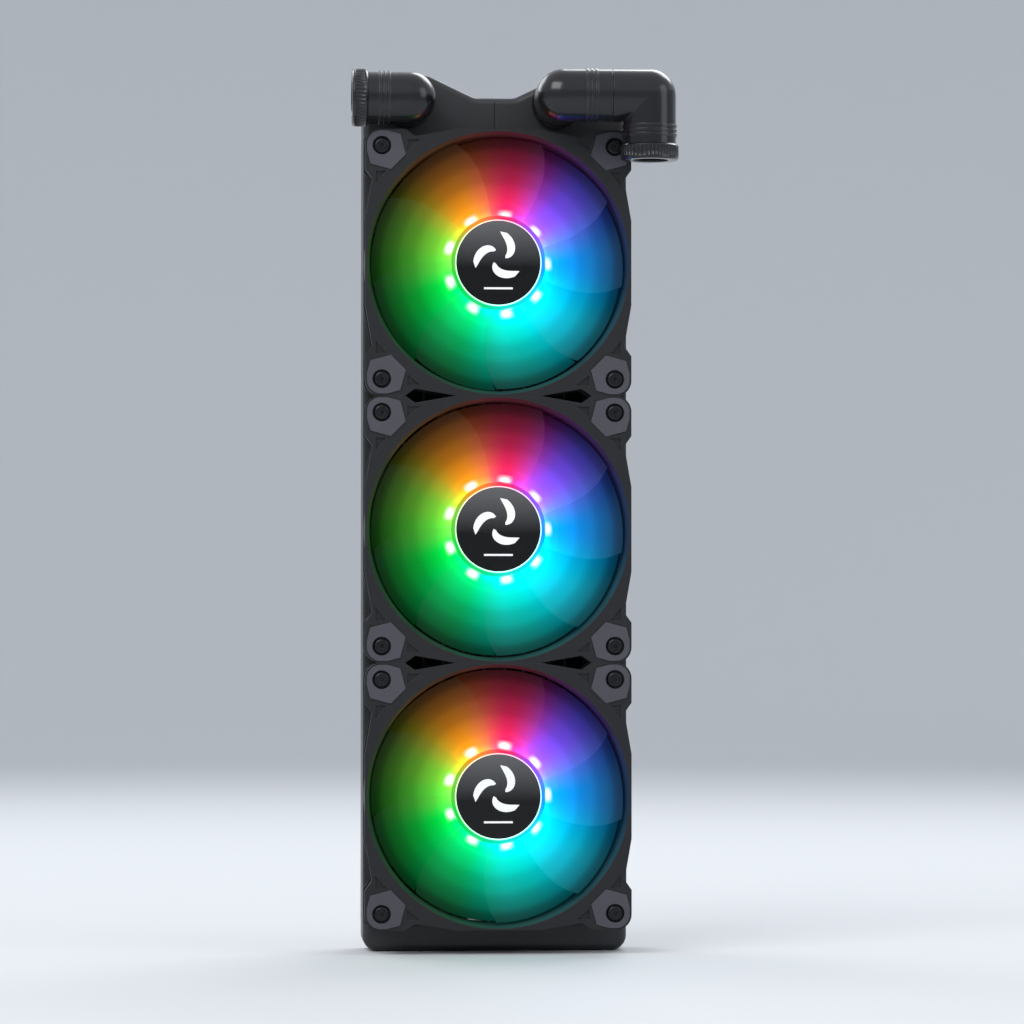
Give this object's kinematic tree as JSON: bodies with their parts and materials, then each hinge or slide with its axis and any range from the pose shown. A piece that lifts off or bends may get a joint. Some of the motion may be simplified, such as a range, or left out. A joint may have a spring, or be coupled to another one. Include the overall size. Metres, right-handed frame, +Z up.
{
  "type": "liquid cooling radiator",
  "caption": "Slim end-tank coolant radiator with hub-lit axial fans on its face and swivel elbows for rigid tube on its ports.",
  "frame": {"origin": "centre of the middle fan position's four rear screw holes, on the radiator's rear mounting face", "axes": "+Z up along the core towards the port tank, +X to the right seen from the fans, +Y back out of the rear mounting face; the fans draw air in from -Y"},
  "size_m": [0.1458, 0.0795, 0.398],
  "materials": {
    "tank_paint": "satin black powder coat",
    "core_paint": "flat brass tubes sprayed black",
    "fin_paint": "thin copper strip sprayed matt black",
    "bare_brass": "plain",
    "black_steel": "black zinc",
    "fitting_black": "black plated, semi-gloss",
    "seal_rubber": "smooth",
    "frame_plastic": "fine-textured black moulding",
    "pad_rubber": "soft grey moulding",
    "blade_plastic": "smoked translucent moulding, lit from the hub",
    "label_gloss": "dark lacquered disc",
    "bright_steel": "ground",
    "magnet_ferrite": "matt",
    "coil_copper": "enamelled copper wire",
    "board_white": "white solder mask",
    "led_lens": "clear lens, lit"
  },
  "bodies": {
    "radiator": {"bottom_fan_bearing_sleeve": "bare_brass", "bottom_fan_frame": "frame_plastic", "bottom_fan_led_board": "board_white", "bottom_fan_leds": "led_lens", "bottom_fan_pads": "pad_rubber", "bottom_fan_stator_coils": "coil_copper", "bottom_fan_stator_core": "bright_steel", "fan_screws": "black_steel", "fin_stacks": "fin_paint", "fitting_orings": "seal_rubber", "flat_tubes": "core_paint", "left_base": "fitting_black", "left_side_plate": "tank_paint", "middle_fan_bearing_sleeve": "bare_brass", "middle_fan_frame": "frame_plastic", "middle_fan_led_board": "board_white", "middle_fan_leds": "led_lens", "middle_fan_pads": "pad_rubber", "middle_fan_stator_coils": "coil_copper", "middle_fan_stator_core": "bright_steel", "port_bosses": "fitting_black", "port_header_plate": "tank_paint", "port_tank": "tank_paint", "return_header_plate": "tank_paint", "return_tank": "tank_paint", "right_base": "fitting_black", "right_extension": "fitting_black", "right_side_plate": "tank_paint", "tank_divider": "bare_brass", "top_fan_bearing_sleeve": "bare_brass", "top_fan_frame": "frame_plastic", "top_fan_led_board": "board_white", "top_fan_leds": "led_lens", "top_fan_pads": "pad_rubber", "top_fan_stator_coils": "coil_copper", "top_fan_stator_core": "bright_steel"},
    "top_rotor": {"top_fan_rotor": "blade_plastic", "top_fan_hub_label": "label_gloss", "top_fan_rotor_yoke": "bright_steel", "top_fan_rotor_magnet": "magnet_ferrite", "top_fan_rotor_shaft": "bright_steel"},
    "middle_rotor": {"middle_fan_rotor": "blade_plastic", "middle_fan_hub_label": "label_gloss", "middle_fan_rotor_yoke": "bright_steel", "middle_fan_rotor_magnet": "magnet_ferrite", "middle_fan_rotor_shaft": "bright_steel"},
    "bottom_rotor": {"bottom_fan_rotor": "blade_plastic", "bottom_fan_hub_label": "label_gloss", "bottom_fan_rotor_yoke": "bright_steel", "bottom_fan_rotor_magnet": "magnet_ferrite", "bottom_fan_rotor_shaft": "bright_steel"},
    "left_swivel": {"left_elbow": "fitting_black", "left_collar": "fitting_black", "left_tube_oring": "seal_rubber"},
    "right_arm_swivel": {"right_arm": "fitting_black", "right_swivel_oring": "seal_rubber"},
    "right_drop_swivel": {"right_elbow": "fitting_black", "right_collar": "fitting_black", "right_tube_oring": "seal_rubber"}
  },
  "joints": [
    {"name": "top_fan_spin", "type": "hinge", "parent": "radiator", "child": "top_rotor", "pos_m": [0, -0.04, 0.12], "axis": [0, -1, 0], "continuous": true},
    {"name": "middle_fan_spin", "type": "hinge", "parent": "radiator", "child": "middle_rotor", "pos_m": [0, -0.04, 0], "axis": [0, -1, 0], "continuous": true},
    {"name": "bottom_fan_spin", "type": "hinge", "parent": "radiator", "child": "bottom_rotor", "pos_m": [0, -0.04, -0.12], "axis": [0, -1, 0], "continuous": true},
    {"name": "left_elbow_swivel", "type": "hinge", "parent": "radiator", "child": "left_swivel", "pos_m": [-0.04, -0.05, 0.194], "axis": [0, 1, 0], "range_deg": [0, 180]},
    {"name": "right_elbow_swivel", "type": "hinge", "parent": "radiator", "child": "right_arm_swivel", "pos_m": [0.028, -0.0665, 0.194], "axis": [0, -1, 0], "range_deg": [-90, 90]},
    {"name": "right_drop_swivel", "type": "hinge", "parent": "right_arm_swivel", "child": "right_drop_swivel", "pos_m": [0.0495, -0.0665, 0.194], "axis": [-1, 0, 0], "range_deg": [0, 180]}
  ]
}
